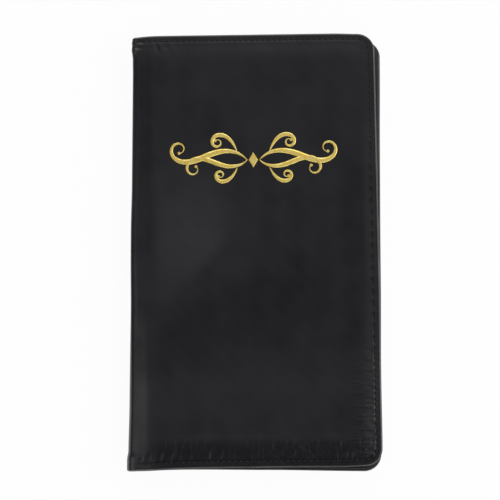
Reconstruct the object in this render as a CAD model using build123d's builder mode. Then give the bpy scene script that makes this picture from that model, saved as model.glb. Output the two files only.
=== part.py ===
from build123d import *
from math import cos, pi, radians, sin
import os

# A closed server book of black faux leather. It lies on its back cover, with its spine at -X,
# its head at +Y and its front cover up. The origin is the middle of the back cover's outer face.

# Driving dimensions, in millimetres
book_height = 229.0
back_width = 131.0
front_width = 129.5
closed_thickness = 10.4
field_rise = 1.0
corner_radius = 9.1
front_skew = 1.0

# Sheets
skin = 0.9
board = 1.2
lining = 0.5
pocket_sheet = 0.4
clear_sheet = 0.3

# Cover edges and stitches
turn_in = 8.0
lining_inset = 1.2
edge_rounding = 0.7
stitch_inset = 3.1
groove_width = 0.8
groove_depth = 0.35
stitch_pitch = 3.0
stitch_length = 2.4
stitch_width = 0.55
stitch_height = 0.3

# Spine and creases
spine_corner = 2.4
fold_reach = 2.5
crease_reach = 2.9

# The board and its padding, measured from the free edges and from the crease
board_inset = 12.0
board_left = 7.4
board_corner = 3.0
field_slope = 4.0

# Pockets, with heights measured from the middle of the cover
pocket_left = 9.0
tall_pocket_top = 58.0
order_pocket_top = -12.0
thumb_notch = 12.0
receipt_pocket_top = 30.0
card_slot_count = 3
card_slot_bottom = -44.0
card_slot_top = 14.0
card_slot_step = 16.0
card_slot_width = 98.0
window_bottom = 40.0
window_top = 104.0
window_width = 96.0
window_border = 6.0

# Pen loop
loop_width = 5.6
loop_height = 5.0
loop_wall = 0.4
loop_corner = 0.9
loop_length = 25.0
loop_middle_y = -20.0
loop_middle_reach = 6.0

# Foil ornament: scrolls that thicken in their middle and end in a dot, mirrored about a lozenge
foil = 0.06
ornament_x = 61.8
ornament_y = 46.5
stroke_tip = 0.3
dot_radius = 0.75
lozenge_width = 4.8
lozenge_height = 8.0
stroke_points = 16

# Places that follow from the sizes
spine_x = -back_width / 2
fold_x = spine_x + fold_reach
crease_x = spine_x + crease_reach
low_face = field_rise
high_face = closed_thickness - field_rise
half_height = book_height / 2
lead = 6.0
step_left = board_left - 0.2 - lining
strip_length = book_height - 2 * turn_in - 0.2
crease_plane = Plane(origin=(crease_x, 0, 0), z_dir=(1, 0, 0))

os.makedirs("parts", exist_ok=True)


class Cover:
    """One cover of the book. Depth is measured inwards from the outer face of its margin."""

    def __init__(self, width, skew, face, outward):
        self.width = width - crease_reach
        self.x_dir = (cos(radians(skew)), sin(radians(skew)), 0)
        self.face = face
        self.outward = outward

    def plane(self, depth):
        height = self.face - self.outward * depth
        return Plane(origin=(crease_x, 0, height), x_dir=self.x_dir, z_dir=(0, 0, 1))


back = Cover(back_width, 0, low_face, -1)
front = Cover(front_width, front_skew, high_face, 1)


def save(piece, label):
    piece.part.label = label
    export_step(piece.part, f"parts/{label}.step")


def cover_outline(cover, inset, left=-lead, mode=Mode.ADD):
    """The cover's outline, inset from its three free edges, with its two round corners."""
    top = half_height - inset
    right = cover.width - inset
    radius = max(corner_radius - inset, 0.5)
    with BuildLine() as edge:
        Polyline((right - radius, top), (left, top), (left, -top), (right - radius, -top))
        CenterArc((right - radius, radius - top), radius, -90, 90)
        Line((right, radius - top), (right, top - radius))
        CenterArc((right - radius, top - radius), radius, 0, 90)
    make_face(edge.edges(), mode=mode)


def board_outline(cover, grow, corner, mode=Mode.ADD):
    """The board's outline, made larger all round by the amount grow."""
    length = cover.width - board_inset - board_left
    with Locations((board_left + length / 2, 0)):
        RectangleRounded(
            length + 2 * grow,
            book_height - 2 * board_inset + 2 * grow,
            corner,
            mode=mode,
        )


def cover_skin(cover, label):
    """Outer leather: a sheet with its edges turned in and its middle raised over the padding."""
    with BuildPart() as leather:
        with BuildSketch(cover.plane(skin)):
            cover_outline(cover, 0)
        extrude(amount=cover.outward * skin)
        with BuildSketch(cover.plane(2 * skin)):
            cover_outline(cover, 0)
            cover_outline(cover, turn_in, mode=Mode.SUBTRACT)
        extrude(amount=cover.outward * skin)
        outer_edges = leather.faces().sort_by(Axis.Z)[0 if cover.outward < 0 else -1].edges()
        fillet(outer_edges, edge_rounding)
        with BuildSketch(cover.plane(0)):
            board_outline(cover, field_slope / 4, board_corner + 2)
        with BuildSketch(cover.plane(-field_rise)):
            board_outline(cover, -3 * field_slope / 4, board_corner)
        loft()
        with BuildSketch(cover.plane(skin)):
            board_outline(cover, field_slope / 4 - 0.4, board_corner + 2)
        with BuildSketch(cover.plane(skin - field_rise)):
            board_outline(cover, -3 * field_slope / 4 - 0.4, board_corner)
        loft(mode=Mode.SUBTRACT)
        with BuildSketch(cover.plane(0)):
            cover_outline(cover, stitch_inset - groove_width / 2)
            cover_outline(cover, stitch_inset + groove_width / 2, mode=Mode.SUBTRACT)
        extrude(amount=-cover.outward * groove_depth, mode=Mode.SUBTRACT)
        split(bisect_by=crease_plane, keep=Keep.TOP)
    save(leather, label)


def cover_padding(cover, label):
    """Thin foam between the board and the leather, which gives the raised field its soft edge."""
    with BuildPart() as padding:
        with BuildSketch(cover.plane(skin)):
            board_outline(cover, field_slope / 4 - 0.4, board_corner + 2)
        with BuildSketch(cover.plane(skin - field_rise)):
            board_outline(cover, -3 * field_slope / 4 - 0.4, board_corner)
        loft()
    save(padding, label)


def cover_board(cover, label):
    """Stiffener board between the padding and the lining."""
    with BuildPart() as stiffener:
        with BuildSketch(cover.plane(skin + board)):
            board_outline(cover, 0, board_corner)
        extrude(amount=cover.outward * board)
    save(stiffener, label)


def cover_lining(cover, label):
    """Lining: a rim on the turned-in edges, a sheet over the board, and a step down at its side."""
    rim_depth = 2 * skin + lining
    sheet_depth = skin + board + lining
    with BuildPart() as cloth:
        with BuildSketch(cover.plane(rim_depth)):
            cover_outline(cover, lining_inset, left=step_left)
            board_outline(cover, 0.1, board_corner, mode=Mode.SUBTRACT)
        extrude(amount=cover.outward * lining)
        with BuildSketch(cover.plane(sheet_depth)):
            board_outline(cover, 0.2 + lining, board_corner)
        extrude(amount=cover.outward * lining)
        with BuildSketch(cover.plane(rim_depth)):
            with Locations((step_left + lining / 2, 0)):
                Rectangle(lining, strip_length)
        extrude(amount=cover.outward * (rim_depth - skin))
    save(cloth, label)


def hinge_strip(cover, label):
    """Leather strip on the inside of the crease, from the fold to the lining's step."""
    with BuildPart() as strip:
        with BuildSketch(cover.plane(skin + lining)):
            with Locations((step_left, 0)):
                Rectangle(step_left + lead, strip_length, align=(Align.MAX, Align.CENTER))
        extrude(amount=cover.outward * lining)
        split(bisect_by=crease_plane, keep=Keep.TOP)
    save(strip, label)


def cover_stitching(cover, label):
    """Stitches in the groove of the outer face, round the head, the free edge and the tail."""
    run_length = cover.width - corner_radius - stitch_inset
    run_count = round(run_length / stitch_pitch)
    side_count = round((book_height - 2 * corner_radius) / stitch_pitch)
    corner_x = cover.width - corner_radius
    corner_y = half_height - corner_radius
    with BuildPart() as stitches:
        with BuildSketch(cover.plane(groove_depth)):
            with Locations((corner_x - run_count * stitch_pitch / 2, 0)):
                with GridLocations(stitch_pitch, book_height - 2 * stitch_inset, run_count, 2):
                    Rectangle(stitch_length, stitch_width)
            with Locations((cover.width - stitch_inset, 0)):
                with GridLocations(stitch_pitch, stitch_pitch, 1, side_count):
                    Rectangle(stitch_width, stitch_length)
            for side in (-1, 1):
                with Locations((corner_x, side * corner_y)):
                    with PolarLocations(corner_radius - stitch_inset, 3, side * 45 - 30, 60, endpoint=True):
                        Rectangle(stitch_width, stitch_length)
        extrude(amount=cover.outward * stitch_height)
    save(stitches, label)


def edge_pocket(cover, label, top, notch):
    """Pocket sheet over the lining, sewn in with the cover's edges and open at its top."""
    rim_depth = 2 * skin + lining
    sheet_depth = skin + board + lining
    with BuildPart() as pocket:
        with BuildSketch(cover.plane(sheet_depth)):
            cover_outline(cover, lining_inset, left=pocket_left)
            board_outline(cover, 0.2 + lining, board_corner, mode=Mode.SUBTRACT)
            with Locations((0, top)):
                Rectangle(3 * back_width, book_height, align=(Align.CENTER, Align.MIN), mode=Mode.SUBTRACT)
        extrude(amount=cover.outward * (sheet_depth - rim_depth))
        with BuildSketch(cover.plane(sheet_depth + pocket_sheet)):
            cover_outline(cover, lining_inset, left=pocket_left)
            with Locations((0, top)):
                Rectangle(3 * back_width, book_height, align=(Align.CENTER, Align.MIN), mode=Mode.SUBTRACT)
            if notch:
                with Locations((cover.width / 2, top)):
                    Circle(notch, mode=Mode.SUBTRACT)
        extrude(amount=cover.outward * pocket_sheet)
    save(pocket, label)


def flat_pocket(cover, label, depth, bottom, top, width, notch):
    """Flat pocket sheet sewn on an inner sheet that lies at the given depth."""
    with BuildPart() as pocket:
        with BuildSketch(cover.plane(depth + pocket_sheet)):
            with Locations((cover.width / 2, bottom)):
                Rectangle(width, top - bottom, align=(Align.CENTER, Align.MIN))
            if notch:
                with Locations((cover.width / 2, top)):
                    Circle(notch, mode=Mode.SUBTRACT)
        extrude(amount=cover.outward * pocket_sheet)
    save(pocket, label)


def spine_outline(inset, mode=Mode.ADD):
    """The spine's folded outline in the XZ plane, inset from its outer face."""
    left = spine_x + inset
    low = low_face + inset
    high = high_face - inset
    with BuildLine() as section:
        fold = FilletPolyline(
            (fold_x, low), (left, low), (left, high), (fold_x, high), radius=spine_corner - inset
        )
        Line(fold @ 1, fold @ 0)
    make_face(section.edges(), mode=mode)


for cover, side in ((back, "back"), (front, "front")):
    cover_skin(cover, f"{side}_cover_skin")
    cover_padding(cover, f"{side}_padding")
    cover_board(cover, f"{side}_board")
    cover_lining(cover, f"{side}_lining")
    hinge_strip(cover, f"{side}_hinge_strip")
    cover_stitching(cover, f"{side}_stitching")

# The leather that wraps the spine, with its head and tail turned in
with BuildPart() as spine_skin:
    with BuildSketch(Plane.XZ):
        spine_outline(0)
        spine_outline(skin, mode=Mode.SUBTRACT)
    extrude(amount=half_height, both=True)
    with BuildSketch(Plane.XZ.offset(half_height - turn_in), Plane.XZ.offset(-half_height)):
        spine_outline(skin)
        spine_outline(2 * skin, mode=Mode.SUBTRACT)
    extrude(amount=turn_in)
save(spine_skin, "spine_skin")

# The same hinge strip where it lines the spine
with BuildPart() as spine_hinge_strip:
    with BuildSketch(Plane.XZ):
        spine_outline(skin)
        spine_outline(skin + lining, mode=Mode.SUBTRACT)
    extrude(amount=strip_length / 2, both=True)
save(spine_hinge_strip, "spine_hinge_strip")

# The elastic pen loop, sewn on the back cover's hinge strip
gutter_top = low_face + skin + lining
with BuildPart() as pen_loop:
    with BuildSketch(Plane.XZ.offset(-loop_middle_y)):
        with Locations((spine_x + loop_middle_reach, gutter_top + loop_height / 2)):
            RectangleRounded(loop_width, loop_height, loop_corner)
            RectangleRounded(
                loop_width - 2 * loop_wall,
                loop_height - 2 * loop_wall,
                loop_corner - loop_wall,
                mode=Mode.SUBTRACT,
            )
    extrude(amount=loop_length / 2, both=True)
save(pen_loop, "pen_loop")

# Pockets of the back cover, the tall one behind the order pad's
inner_depth = skin + board + lining
edge_pocket(back, "tall_pocket", tall_pocket_top, 0)
flat_pocket(
    back,
    "order_pad_pocket",
    inner_depth + pocket_sheet,
    -half_height + turn_in,
    order_pocket_top,
    back.width - pocket_left - turn_in,
    thumb_notch,
)

# Pockets of the front cover, the card slots staggered on the receipt pocket
edge_pocket(front, "receipt_pocket", receipt_pocket_top, 0)
for slot in range(card_slot_count):
    flat_pocket(
        front,
        f"card_slot_{slot + 1}",
        inner_depth + (slot + 1) * pocket_sheet,
        card_slot_bottom,
        card_slot_top - slot * card_slot_step,
        card_slot_width,
        0,
    )

# The clear window pocket and the binding round it
window_height = window_top - window_bottom
window_middle = (front.width / 2, (window_bottom + window_top) / 2)
with BuildPart() as window_pocket:
    with BuildSketch(front.plane(inner_depth + clear_sheet)):
        with Locations(window_middle):
            RectangleRounded(window_width - 2, window_height - 2, 1)
    extrude(amount=clear_sheet)
save(window_pocket, "window_pocket")

with BuildPart() as window_binding:
    with BuildSketch(front.plane(inner_depth + clear_sheet + pocket_sheet)):
        with Locations(window_middle):
            RectangleRounded(window_width, window_height, 2)
            RectangleRounded(
                window_width - 2 * window_border, window_height - 2 * window_border, 1.5, mode=Mode.SUBTRACT
            )
    extrude(amount=pocket_sheet)
save(window_binding, "window_binding")


def scroll(start, heading, length, bend_start, bend_end, tightening, width):
    """A scroll whose curvature grows from one end to the other as a power of the length run."""
    steps = stroke_points * 20
    x, y = start
    turn = radians(heading)
    sides = ([], [])
    for step in range(steps + 1):
        run = step / steps
        if step % 20 == 0:
            half = (stroke_tip + (width - stroke_tip) * abs(sin(pi * run**0.8)) ** 1.3) / 2
            sides[0].append((x - half * sin(turn), y + half * cos(turn)))
            sides[1].append((x + half * sin(turn), y - half * cos(turn)))
        turn += (bend_start + (bend_end - bend_start) * run**tightening) * length / steps
        x += cos(turn) * length / steps
        y += sin(turn) * length / steps
    with BuildLine() as stroke:
        Spline(*sides[0])
        Spline(*sides[1])
        Line(sides[0][0], sides[1][0])
        Line(sides[0][-1], sides[1][-1])
    make_face(stroke.edges())
    with Locations((x, y)):
        Circle(dot_radius)


# The gold foil ornament, stamped on the front cover
foil_middle = front.plane(-field_rise).from_local_coords(Vector(ornament_x, ornament_y, 0))
with BuildPart() as foil_ornament:
    with BuildSketch(Plane(origin=foil_middle, x_dir=front.x_dir, z_dir=(0, 0, 1))):
        scroll((3.2, 0.0), 50, 60, -0.075, 0.46, 2.2, 2.4)
        scroll((3.2, 0.0), -46, 47, 0.095, -0.50, 2.0, 2.0)
        scroll((8.5, 4.4), 70, 31, -0.03, -0.68, 1.7, 1.7)
        scroll((8.5, -4.1), -66, 26, 0.035, 0.80, 1.7, 1.5)
        mirror(about=Plane.YZ)
        with BuildLine() as lozenge:
            Polyline(
                (lozenge_width / 2, 0),
                (0, lozenge_height / 2),
                (-lozenge_width / 2, 0),
                (0, -lozenge_height / 2),
                close=True,
            )
        make_face(lozenge.edges())
    extrude(amount=foil)
save(foil_ornament, "foil_ornament")
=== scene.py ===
import bpy
import bmesh
import numpy as np
from mathutils import Matrix, Vector


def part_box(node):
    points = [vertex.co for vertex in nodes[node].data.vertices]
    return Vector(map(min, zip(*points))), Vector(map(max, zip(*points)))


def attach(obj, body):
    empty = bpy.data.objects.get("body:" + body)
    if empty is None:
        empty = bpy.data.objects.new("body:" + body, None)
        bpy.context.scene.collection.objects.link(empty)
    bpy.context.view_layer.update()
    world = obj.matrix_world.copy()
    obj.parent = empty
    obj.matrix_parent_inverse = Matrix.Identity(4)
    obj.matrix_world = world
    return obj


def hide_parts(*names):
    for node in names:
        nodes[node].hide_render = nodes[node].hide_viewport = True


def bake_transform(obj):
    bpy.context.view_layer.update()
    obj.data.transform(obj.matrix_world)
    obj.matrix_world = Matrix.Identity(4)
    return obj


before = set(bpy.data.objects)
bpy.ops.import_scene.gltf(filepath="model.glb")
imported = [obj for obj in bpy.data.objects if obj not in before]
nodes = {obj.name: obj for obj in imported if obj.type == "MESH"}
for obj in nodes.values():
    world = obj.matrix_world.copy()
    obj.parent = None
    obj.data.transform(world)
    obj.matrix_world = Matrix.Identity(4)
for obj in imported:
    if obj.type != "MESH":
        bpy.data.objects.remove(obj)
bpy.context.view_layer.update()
mm = 0.001

# The camera hangs a metre above the closed book and leans a little towards its tail. Its shift puts
# the middle of the book where the photograph has it.
view_tilt = np.radians(7.71)
view_roll = np.radians(0.183)
view_distance = 1.0815
view_height = 0.005
sensor_width = 36.0
focal_share = 2054 / 500

camera_data = bpy.data.cameras.new("camera")
camera_data.sensor_width = sensor_width
camera_data.lens = sensor_width * focal_share
camera_data.shift_x = -5.7 / 500
camera_data.shift_y = 0.63 / 500
camera_data.clip_start = 0.05
camera_data.clip_end = 50.0
camera = bpy.data.objects.new("camera", camera_data)
camera_turn = Matrix.Rotation(view_tilt, 4, "X") @ Matrix.Rotation(view_roll, 4, "Z")
camera_place = (0, -np.sin(view_tilt) * view_distance, view_height + np.cos(view_tilt) * view_distance)
camera.matrix_world = Matrix.Translation(camera_place) @ camera_turn
bpy.context.scene.collection.objects.link(camera)
bpy.context.scene.camera = camera
bpy.context.scene.view_settings.view_transform = "Standard"

# Floor and studio: a white table top that keeps the book's soft shadow, a room that is dim overhead and
# to the left, and soft boxes. The table looks white to the camera and in what the book reflects.
floor_drop = 0.0002
floor_reach = 4.0
floor_white = 0.9
floor_glow_share = 0.95


def feed(node, inputs):
    """Fills a node's named or numbered inputs: a node gives its first output, a socket itself, and
    anything else is the input's value."""
    for key, value in inputs.items():
        if isinstance(value, bpy.types.Node):
            value = value.outputs[0]
        if isinstance(value, bpy.types.NodeSocket):
            node.id_data.links.new(value, node.inputs[key])
        else:
            node.inputs[key].default_value = value


def add_node(tree, kind, inputs=None, **settings):
    """A shader node with its settings and its inputs fed."""
    node = tree.nodes.new("ShaderNode" + kind)
    for key, value in settings.items():
        setattr(node, key, value)
    feed(node, inputs or {})
    return node


def new_material(name):
    """A material with its node tree and its Principled shader."""
    material = bpy.data.materials.new(name)
    material.use_nodes = True
    return material, material.node_tree, material.node_tree.nodes["Principled BSDF"]


floor_mesh = bpy.data.meshes.new("floor")
floor_signs = [(-1, -1), (1, -1), (1, 1), (-1, 1)]
floor_corners = [(x * floor_reach, y * floor_reach, -floor_drop) for x, y in floor_signs]
floor_mesh.from_pydata(floor_corners, [], [(0, 1, 2, 3)])
floor = bpy.data.objects.new("floor", floor_mesh)
bpy.context.scene.collection.objects.link(floor)

floor_material, tree, shader = new_material("white_table")
feed(shader, {"Base Color": (floor_white, floor_white, floor_white, 1), "Roughness": 0.9})
feed(shader, {"Specular IOR Level": 0.0})
rays = add_node(tree, "LightPath").outputs
seen = add_node(tree, "Math", {0: rays["Is Camera Ray"], 1: rays["Is Glossy Ray"]}, operation="MAXIMUM")
shown = add_node(tree, "Math", {0: seen, 1: rays["Is Transmission Ray"]}, operation="MAXIMUM")
floor_share = add_node(tree, "Math", {0: shown, 1: floor_glow_share}, operation="MULTIPLY")
floor_glow = add_node(tree, "Emission", {"Strength": 1.0})
floor_mix = add_node(tree, "MixShader", {0: floor_share, 1: shader, 2: floor_glow})
feed(tree.nodes["Material Output"], {"Surface": floor_mix})
floor_mesh.materials.append(floor_material)

# The room is dim overhead, brighter towards its walls, and dim again to the left, where a dark screen
# stands.
wall_to_ceiling = {"From Min": 0.55, "From Max": 0.85, "To Min": 0.85, "To Max": 0.08}
screen_to_right = {"From Min": -0.65, "From Max": -0.25, "To Min": 0.22, "To Max": 1.0}
world = bpy.data.worlds.new("studio")
bpy.context.scene.world = world
world.use_nodes = True
tree = world.node_tree
way = add_node(tree, "SeparateXYZ", {0: add_node(tree, "TexCoord").outputs["Generated"]}).outputs
room = add_node(tree, "MapRange", {"Value": way["Z"]} | wall_to_ceiling, interpolation_type="SMOOTHSTEP")
screen = add_node(tree, "MapRange", {"Value": way["X"]} | screen_to_right, interpolation_type="SMOOTHSTEP")
room_strength = add_node(tree, "Math", {0: room, 1: screen}, operation="MULTIPLY")
feed(tree.nodes["Background"], {"Color": (1, 1, 1, 1), "Strength": room_strength})

# Each soft box: its middle in metres, its sides, and its radiance. All face the book.
soft_boxes = {
    "overhead_box": ((0.05, 0.40, 1.8), (1.1, 1.06), 0.21),
    "left_box": ((-0.90, -0.20, 1.55), (0.8, 1.0), 0.72),
    "right_box": ((1.5, 0.1, 0.95), (1.3, 1.8), 2.3),
    "high_head_box": ((0.1, 1.35, 1.7), (1.4, 0.7), 0.55),
    "head_box": ((0.1, 1.7, 0.9), (1.8, 1.0), 2.2),
    "tail_box": ((0.3, -1.6, 0.8), (1.6, 1.0), 1.5),
}
for box_name, (middle, sides, radiance) in soft_boxes.items():
    box_data = bpy.data.lights.new(box_name, "AREA")
    box_data.shape = "RECTANGLE"
    box_data.size, box_data.size_y = sides
    box_data.energy = radiance * np.pi * sides[0] * sides[1]
    box_light = bpy.data.objects.new(box_name, box_data)
    box_light.location = middle
    box_light.rotation_euler = Vector(middle).to_track_quat("Z", "Y").to_euler()
    bpy.context.scene.collection.objects.link(box_light)


def corners_of(node):
    """Low and high corner of a CAD node's box, in millimetres."""
    return [np.array(corner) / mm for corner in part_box(node)]


# Outer leather: one sheet of black faux leather from the back cover round the spine to the front cover,
# with turned-in edges, pressed down along the stitches and raised over the padded boards. It is two
# pieces here, which meet at the middle of the spine, because each bends at one crease.
spine_low, spine_high = corners_of("spine_skin")
back_low, back_high = corners_of("back_cover_skin")
front_high = corners_of("front_cover_skin")[1]
board_low, board_high = corners_of("back_board")
spine_x = spine_low[0]
half_height = spine_high[1]
crease_x = back_low[0]
high_face = spine_high[2]
middle_z = (spine_low[2] + high_face) / 2
field_rise = front_high[2] - high_face
back_width = back_high[0] - crease_x
front_narrower = 1.5
front_skew = np.radians(1.0)
corner_radius = 9.1
skin = 0.9
board_inset = back_high[0] - board_high[0]
board_left = board_low[0] - crease_x
spine_round = 3.6
spine_flat = high_face - middle_z - spine_round
bend_length = spine_flat + spine_round * np.pi / 2
flat_offset = bend_length - (spine_x + spine_round - crease_x)
edge_stretch = 1.003
square_radius = 1.5
field_radius = 12.5
turn_in = 8.0
stitch_inset = 3.1
stitch_pitch = 3.0
grid_step = 0.65


class Side:
    """One cover: its width from the crease, its outward direction in Z and its skew."""

    def __init__(self, body, width, outward, skew, seed):
        self.body = body
        self.width = width
        self.outward = outward
        self.skew = skew
        self.seed = seed
        self.length = width + flat_offset


back = Side("back", back_width, -1, 0.0, 3)
front = Side("front", back_width - front_narrower, 1, front_skew, 5)


def smooth(share):
    """Smooth step from 0 to 1."""
    share = np.clip(share, 0, 1)
    return share * share * (3 - 2 * share)


def bell(distance, width):
    """Bell curve: 1 in its middle, and 1/e at its width."""
    return np.exp(-((distance / width) ** 2))


def slip(s, y):
    """How far the sheet lies towards the tail of where a square one would: most at the spine, where it
    fades faster at the head, and a little at the free edge's tail corner and along the tail."""
    to_tail = smooth(0.5 - y / (2 * half_height))
    at_spine = (1.1 + 0.3 * to_tail) * bell(s, 9.5 + 8.5 * to_tail)
    along_tail = smooth((s - 6) / 8) * (1 - smooth((s - 62) / 25)) * smooth((-y - 60) / 50)
    return at_spine + 0.8 * smooth((s - 45) / 90) * smooth(-y / half_height) + 0.22 * along_tail


def settled(side, s, y):
    """How a cover's outer half has settled: its reach along the sheet, then how far its corners are drawn
    in and down. The front's two corners are drawn in, and the back's head corner lies lower."""
    outer = smooth((s - 60) / 60)
    if side.outward > 0:
        at_corner = smooth((s - side.length + 22) / 14) * smooth((np.abs(y) - half_height + 16) / 12)
        reach = 0.36 * outer * (1 - smooth((-y - 20) / 66))
        return reach, 0.15 * at_corner, 0.38 * at_corner * np.sign(y)
    reach = 0.16 * outer * (smooth((y - 60) / 30) + bell(y + 25, 25))
    return reach, 0.0, 0.5 * smooth((s - 100) / 30) * smooth((y - 70) / 40)


def spine_turn(s):
    """Angle that the sheet has turned through at s: none on the flat, then a quarter round."""
    return np.clip((s - spine_flat) / spine_round, 0, np.pi / 2)


def on_cover(side, s, y, depth):
    """Place of leather point s along the sheet from the middle of the spine and y up the book: a flat, a
    quarter round, then straight, moved inwards by depth, and turned askew past the crease."""
    turn = spine_turn(s)
    reach, drawn_in, drawn_down = settled(side, s, y)
    beyond = np.maximum(s - bend_length, 0) * edge_stretch + reach
    x = spine_x + spine_round * (1 - np.cos(turn)) + beyond + depth * np.cos(turn)
    rise = np.minimum(s, spine_flat) + spine_round * np.sin(turn) - depth * np.sin(turn)
    askew = side.skew * smooth(s / (2 * bend_length))
    out_x = crease_x + (x - crease_x) * np.cos(askew) - y * np.sin(askew) - drawn_in
    out_y = (x - crease_x) * np.sin(askew) + y * np.cos(askew) - slip(s, y) - drawn_down
    return np.stack([out_x, out_y, middle_z + side.outward * rise], -1)


def inset_round(across, up, radius):
    """Distance in from an outline with a round corner, given the ways past the corner's middle."""
    both = np.hypot(np.maximum(across, 0), np.maximum(up, 0))
    return radius - both - np.minimum(np.maximum(across, up), 0)


def inset_from_edge(side, u, v, radius=corner_radius):
    """Distance in from the cover's outline: its three free edges with two round corners."""
    return inset_round(u - (side.width - radius), np.abs(v) - (half_height - radius), radius)


def inset_from_board(side, u, v, corner=3.0):
    """Distance in from the board's outline, negative outside it."""
    half_u = (side.width - board_inset - board_left) / 2
    across = np.abs(u - board_left - half_u) - (half_u - corner)
    return inset_round(across, np.abs(v) - (half_height - board_inset - corner), corner)


def waves(u, v, seed, count, shortest, longest):
    """Gentle unevenness: a sum of plane waves of random direction and length, about 1 high in all."""
    draw = np.random.default_rng(seed)
    total = np.zeros(np.broadcast(u, v).shape)
    for _ in range(count):
        length = draw.uniform(shortest, longest)
        heading = draw.uniform(0, np.pi)
        phase = draw.uniform(0, 2 * np.pi)
        total += np.sin((u * np.cos(heading) + v * np.sin(heading)) * 2 * np.pi / length + phase)
    return total / np.sqrt(count)


def along_stitches(side, u, v):
    """Length run along the stitch line at the point of it nearest to (u, v)."""
    corner_u = side.width - corner_radius
    corner_v = half_height - corner_radius
    angle = np.arctan2(np.maximum(np.abs(v) - corner_v, 1e-6), np.maximum(u - corner_u, 1e-6))
    quarter = (corner_radius - stitch_inset) * np.pi / 2
    on_side = (u > corner_u) & (np.abs(v) < corner_v)
    on_corner = (u > corner_u) & (np.abs(v) >= corner_v)
    run = np.where(on_side, np.abs(v), corner_v + quarter + corner_u - u)
    return np.where(on_corner, corner_v + quarter * angle / (np.pi / 2), run)


def stitch_pucker(side, u, v):
    """Cosine of the place between two stitches: 1 at a stitch's middle and -1 at its holes."""
    return np.cos(2 * np.pi * along_stitches(side, u, v) / stitch_pitch)


def seam_creases(side, u, y, inset):
    """Short uneven creases that the perimeter seam pulls into the leather, square to it and as far as the
    field. They are strongest at the tail and along the lower half of the free edge."""
    patch = 0.7 + 0.35 * waves(u, y, side.seed + 2, 5, 9, 40)
    at_tail = smooth((-y - half_height + 22) / 10)
    low_edge = smooth((-y - 25) / 60) * smooth((u - side.width + 20) / 8)
    at_start = smooth((y - half_height + 14) / 7) * bell(u - 12, 6)
    pulled = np.maximum(0.09 * at_tail + 0.05 * at_tail * low_edge, 0.11 * low_edge)
    strength = 0.012 + np.clip(patch, 0, 1) * pulled + 0.07 * at_start
    creases = waves(along_stitches(side, u, y), 0.3 * inset, side.seed + 3, 8, 1.9, 5.5)
    return strength * bell(inset - 6.4, 3.1) * creases


def dimples(side, u, y, inset):
    """Where every second stitch along the free edge has dimpled the leather, from 0 to 1: in its upper
    and middle part, beside the stitch line."""
    at_stitch = (0.5 + 0.5 * np.cos(np.pi * along_stitches(side, u, y) / stitch_pitch)) ** 2
    along_edge = smooth((u - side.width + 12) / 4) * smooth((y + 66) / 20) * smooth((62 - y) / 30)
    return at_stitch * along_edge * bell(inset - 3.8, 1.2)


def from_ridge(u, y):
    """Ways from the middle of the field's low ridge: square to it, and along it."""
    return 0.72 * (u - 43) - 0.69 * (y + 5), 0.69 * (u - 43) + 0.72 * (y + 5)


def sag(side, u, y):
    """Slow rise and fall of the padded field: a low ridge that runs slantwise left of the middle, a
    shallow trough on its tail side, and a gentle unevenness."""
    if side.outward < 0:
        return 0.10 * waves(u, y, side.seed, 6, 45, 130) - 0.22
    off_ridge, along_ridge = from_ridge(u, y)
    flank = np.where(off_ridge < 0, bell(off_ridge, 22), bell(off_ridge, 30))
    trough = -0.30 * bell(y + 56 + 0.08 * (u - 60), 16) * smooth((u - 4) / 24)
    return 0.55 * bell(along_ridge, 48) * flank + trough + 0.06 * waves(u, y, side.seed, 6, 35, 100) - 0.25


def field_share(side, u, y):
    """How far the leather is raised over the padded board, from 0 to 1: it rises slowly from the three
    free edges, and from the spine with a parabola at the head, which turns to a bevel at the tail."""
    to_tail = smooth((-y - 5) / 75)
    ramp = 0.25 * (1 - to_tail) * (1 - np.clip((u + 1.6) / 10.6, 0, 1)) ** 2
    bevel = to_tail * np.log1p(np.exp((4.6 - u) / 0.6)) * 0.6 / 6.2
    return (1 - ramp - bevel) * smooth((inset_from_edge(side, u, y, field_radius) - 2.5) / 13)


def spine_relief(side, s, y):
    """Shape of the leather round the spine: a squarer corner and a slight pinch towards the head, fuller
    towards the tail, a flare at both ends, and wrinkles where they are turned in."""
    turn = spine_turn(s)
    low = np.minimum(np.cos(turn), np.sin(turn))
    high = np.maximum(np.cos(turn), np.sin(turn))
    core = spine_round - square_radius
    on_corner = core * (low + high) + np.sqrt(np.maximum(square_radius**2 - (core * (high - low)) ** 2, 0))
    square = np.where(low * spine_round < core * high, spine_round / high, on_corner) - spine_round
    squarer = 0.5 + 0.3 * smooth((y + 70) / 110)
    to_tail = smooth((-y - 15) / 60)
    fuller = -0.75 * to_tail * np.clip(1 - (s - bend_length + 1.5) / 11.5, 0, 1) ** 2 * np.sin(turn)
    near_tail = 0.62 * smooth((-y - half_height + 10.5) / 4) + 0.33 * smooth((-y - 80) / 25)
    near_head = 0.72 * smooth((y - half_height + 12) / 5)
    on_spine = 1 - smooth((s - bend_length) / 4)
    flare = (near_tail + near_head) * on_spine * (0.4 + 0.6 * np.cos(turn))
    wrinkled = smooth((y - half_height + 11) / 7) + 0.5 * smooth((-y - half_height + 11) / 7)
    folds = 0.12 * on_spine * wrinkled * waves(s, y, side.seed + 11, 5, 2.6, 6)
    level = 0.08 * on_spine * smooth((y - half_height + 11) / 3)
    folds += level * waves(0.25 * s, y, side.seed + 12, 4, 2.0, 3.4)
    waist = smooth((y - 10) / 26) * smooth((half_height - 2 - y) / 20) + 0.5 * bell(y + 24, 14)
    return square * squarer + fuller + flare + folds - 0.48 * waist * np.cos(turn)


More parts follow.
